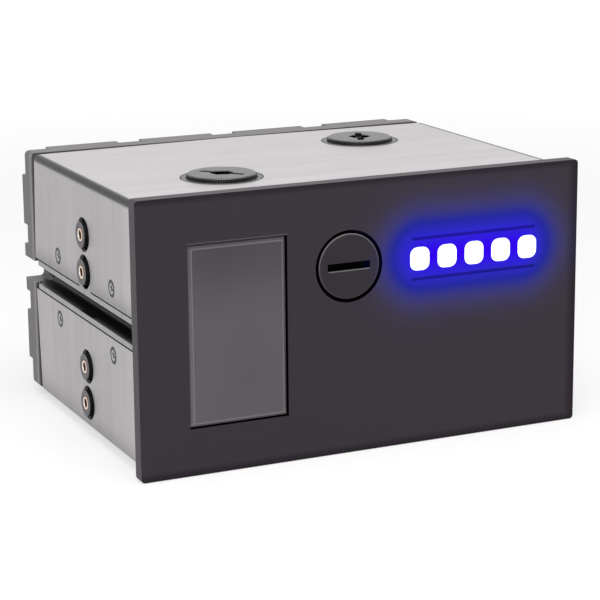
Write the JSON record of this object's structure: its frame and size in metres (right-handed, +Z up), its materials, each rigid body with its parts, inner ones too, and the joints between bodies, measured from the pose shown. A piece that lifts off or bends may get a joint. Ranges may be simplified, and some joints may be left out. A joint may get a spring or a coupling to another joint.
{
  "type": "coolant pump reservoir",
  "caption": "Twin-bay liquid coolant reservoir with brushed sheet-metal shells, a level window, a lit front panel, screw plugs and a canned-motor pump behind.",
  "frame": {"origin": "on the ground, under the middle of the part's box", "axes": "+Z up, -Y out of the front bezel, +Y out of the rear ports, +X to the right of someone who faces the bezel"},
  "size_m": [0.148, 0.15, 0.0846],
  "materials": {
    "bezel_black": "black anodised, satin, with lighter worn edges",
    "smoked_acrylic": "smoked, polished, with a bevelled border",
    "black_rubber": "matt",
    "light_diffuser": "milky, lit from behind",
    "circuit_board": "green solder mask",
    "led_phosphor": "yellow phosphor in clear resin",
    "connector_white": "moulded",
    "zinc_steel": "bright zinc plated",
    "cap_black": "satin",
    "brushed_shell": "fine straight brushing",
    "dark_steel": "black oxide",
    "nickel_brass": "nickel plated brass, bright",
    "tank_black": "satin acetal",
    "plug_grey": "satin, knurled rim",
    "cover_grey": "moulded, fine texture",
    "natural_plastic": "natural white",
    "pump_black": "glass-filled, fine texture",
    "clamp_aluminium": "turned",
    "stainless": "deep drawn",
    "ceramic": "polished ceramic",
    "carbon_bearing": "pressed carbon",
    "ferrite": "pressed ferrite",
    "laminations": "stacked sheet",
    "copper_wire": "enamelled copper",
    "capacitor_can": "sleeved",
    "pot_blue": "moulded",
    "dial_red": "moulded"
  },
  "bodies": {
    "housing": {"front_bezel": "bezel_black", "window_pane": "smoked_acrylic", "window_gasket": "black_rubber", "light_guide": "light_diffuser", "led_board": "circuit_board", "led_chips": "led_phosphor", "led_header": "connector_white", "led_board_screws": "zinc_steel", "bezel_screws": "zinc_steel", "upper_shell": "brushed_shell", "lower_shell": "brushed_shell", "shell_screws_left": "dark_steel", "shell_screws_right": "dark_steel", "mount_grommets_left": "black_rubber", "mount_grommets_right": "black_rubber", "mount_inserts_left": "nickel_brass", "mount_inserts_right": "nickel_brass", "tank_body": "tank_black", "rear_cover": "cover_grey", "cover_gasket": "black_rubber", "cover_screws": "dark_steel", "inlet_baffle": "natural_plastic", "pump_seal": "black_rubber", "pump_housing": "pump_black", "pump_clamp_ring": "clamp_aluminium", "clamp_ring_screws": "zinc_steel", "rotor_cup": "stainless", "bearing_ball": "ceramic", "stator_core": "laminations", "stator_windings": "copper_wire", "driver_board": "circuit_board", "driver_capacitors": "capacitor_can", "speed_pot": "pot_blue", "cable_gland": "pump_black", "gland_nut": "pump_black"},
    "fill_cap_ring": {"fill_cap_seal": "black_rubber"},
    "fill_cap": {"fill_cap": "cap_black"},
    "left_plug_ring": {"port_seal_left": "black_rubber"},
    "left_plug": {"port_plug_left": "plug_grey"},
    "right_plug_ring": {"port_seal_right": "black_rubber"},
    "right_plug": {"port_plug_right": "plug_grey"},
    "rotor": {"impeller": "natural_plastic", "rotor_magnet": "ferrite", "rotor_bearing": "carbon_bearing"},
    "dial": {"speed_dial": "dial_red"}
  },
  "joints": [
    {"name": "fill_cap_travel", "type": "slide", "parent": "housing", "child": "fill_cap_ring", "axis": [0, -1, 0], "range_m": [0, 0.00802]},
    {"name": "fill_cap_turn", "type": "hinge", "parent": "fill_cap_ring", "child": "fill_cap", "pos_m": [-0.0059, -0.0716, 0.05855], "axis": [0, -1, 0], "range_deg": [0, 2160]},
    {"name": "left_plug_travel", "type": "slide", "parent": "housing", "child": "left_plug_ring", "axis": [0, 0, 1], "range_m": [0, 0.00802]},
    {"name": "left_plug_turn", "type": "hinge", "parent": "left_plug_ring", "child": "left_plug", "pos_m": [-0.0324, -0.0402, 0.0824], "axis": [0, 0, 1], "range_deg": [0, 2160]},
    {"name": "right_plug_travel", "type": "slide", "parent": "housing", "child": "right_plug_ring", "axis": [0, 0, 1], "range_m": [0, 0.00802]},
    {"name": "right_plug_turn", "type": "hinge", "parent": "right_plug_ring", "child": "right_plug", "pos_m": [0.0352, 0.0009, 0.0824], "axis": [0, 0, 1], "range_deg": [0, 2160]},
    {"name": "impeller_spin", "type": "hinge", "parent": "housing", "child": "rotor", "pos_m": [0, 0.0395, 0.041], "axis": [0, 1, 0], "continuous": true},
    {"name": "dial_turn", "type": "hinge", "parent": "housing", "child": "dial", "pos_m": [0, 0.068, 0.027], "axis": [0, 1, 0], "range_deg": [-120, 120]}
  ],
  "couplings": [
    {"joint": "fill_cap_turn", "follows": "fill_cap_travel", "rad_per_m": 4699.4},
    {"joint": "left_plug_turn", "follows": "left_plug_travel", "rad_per_m": 4699.4},
    {"joint": "right_plug_turn", "follows": "right_plug_travel", "rad_per_m": 4699.4}
  ]
}
